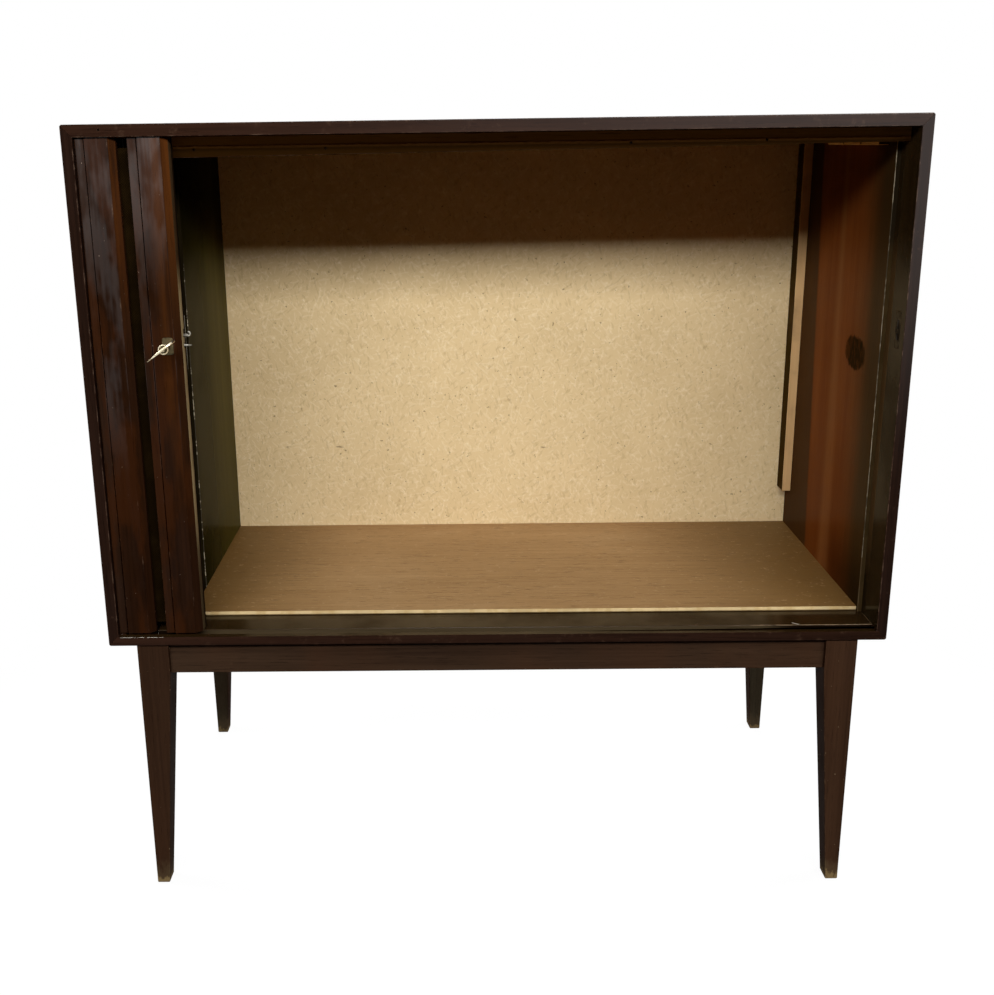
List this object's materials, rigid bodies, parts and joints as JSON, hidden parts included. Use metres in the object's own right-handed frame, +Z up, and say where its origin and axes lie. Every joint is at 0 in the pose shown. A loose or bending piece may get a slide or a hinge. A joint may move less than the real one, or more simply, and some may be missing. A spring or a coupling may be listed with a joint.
{
  "type": "tambour door bar cabinet",
  "caption": "Free-standing bar cabinet: a mitred case on tapered legs, with a slatted tambour door that slides round a track into a pocket, and a lock with its key.",
  "frame": {"origin": "on the floor, under the middle of the whole piece with its key", "axes": "+Z up, the open front faces -Y, +X to the right as seen from the front"},
  "size_m": [0.9, 0.461, 0.901],
  "materials": {
    "case_wood": "satin dark mahogany lacquer",
    "base_wood": "satin dark mahogany lacquer, worn at the feet",
    "slat_wood": "glossy dark mahogany lacquer",
    "canvas": "dark olive glued canvas",
    "chipboard": "raw pressed chipboard",
    "hardboard": "brown hardboard",
    "left_veneer": "dark lacquered plywood",
    "right_veneer": "red-brown lacquered plywood",
    "floor_veneer": "worn brown lacquered plywood, raw edge",
    "raw_wood": "raw softwood",
    "brass": "pale worn brass",
    "steel": "dull plated steel"
  },
  "bodies": {
    "case": {"case_top": "case_wood", "case_bottom": "case_wood", "case_left": "case_wood", "case_right": "case_wood", "header_rail": "case_wood", "leg_front_left": "base_wood", "leg_front_right": "base_wood", "leg_back_left": "base_wood", "leg_back_right": "base_wood", "apron_front": "base_wood", "apron_back": "base_wood", "apron_left": "base_wood", "apron_right": "base_wood", "inner_back": "chipboard", "back_board": "hardboard", "left_lining": "left_veneer", "right_lining": "right_veneer", "floor_board": "floor_veneer", "corner_batten": "raw_wood", "glue_blocks": "raw_wood", "base_blocks": "raw_wood", "strike_plate": "brass", "back_screws": "steel", "base_screws": "steel"},
    "tambour_lead": {"lock_stile": "slat_wood", "tambour_slat_01": "slat_wood", "canvas_front": "canvas", "lock_case": "steel", "escutcheon": "brass"},
    "tambour_side_run": {"tambour_slat_02": "slat_wood", "tambour_slat_03": "slat_wood", "tambour_slat_04": "slat_wood", "tambour_slat_05": "slat_wood", "tambour_slat_06": "slat_wood", "tambour_slat_07": "slat_wood", "tambour_slat_08": "slat_wood", "canvas_side": "canvas"},
    "tambour_rear_run": {"tambour_slat_09": "slat_wood", "tambour_slat_10": "slat_wood", "tambour_slat_11": "slat_wood", "tambour_slat_12": "slat_wood", "tambour_slat_13": "slat_wood", "tambour_slat_14": "slat_wood", "tambour_slat_15": "slat_wood", "canvas_rear": "canvas"},
    "key": {"key": "brass"},
    "lock_bolt": {"lock_bolt": "steel"}
  },
  "joints": [
    {"name": "tambour_slide", "type": "slide", "parent": "case", "child": "tambour_lead", "axis": [1, 0, 0], "range_m": [0, 0.7785]},
    {"name": "side_run_turn", "type": "hinge", "parent": "case", "child": "tambour_side_run", "pos_m": [-0.03625, 0.21475, 0.4505], "axis": [0, 0, 1], "range_deg": [0, 90], "deforming": ["tambour_slat_02", "tambour_slat_03", "tambour_slat_04", "tambour_slat_05", "tambour_slat_06", "tambour_slat_07", "tambour_slat_08", "canvas_side"]},
    {"name": "rear_run_turn", "type": "hinge", "parent": "case", "child": "tambour_rear_run", "pos_m": [-0.23037, 0.01975, 0.4505], "axis": [0, 0, 1], "range_deg": [0, 180], "deforming": ["tambour_slat_09", "tambour_slat_10", "tambour_slat_11", "tambour_slat_12", "tambour_slat_13", "tambour_slat_14", "tambour_slat_15", "canvas_rear"]},
    {"name": "key_turn", "type": "hinge", "parent": "tambour_lead", "child": "key", "pos_m": [-0.3555, -0.1855, 0.669], "axis": [0, -1, 0], "range_deg": [0, 90]},
    {"name": "bolt_slide", "type": "slide", "parent": "tambour_lead", "child": "lock_bolt", "axis": [-1, 0, 0], "range_m": [0, 0.0085]}
  ],
  "couplings": [
    {"joint": "side_run_turn", "follows": "tambour_slide", "rad_per_m": 2.0177},
    {"joint": "rear_run_turn", "follows": "tambour_slide", "rad_per_m": 4.0354},
    {"joint": "bolt_slide", "follows": "key_turn", "m_per_rad": 0.0054113}
  ]
}
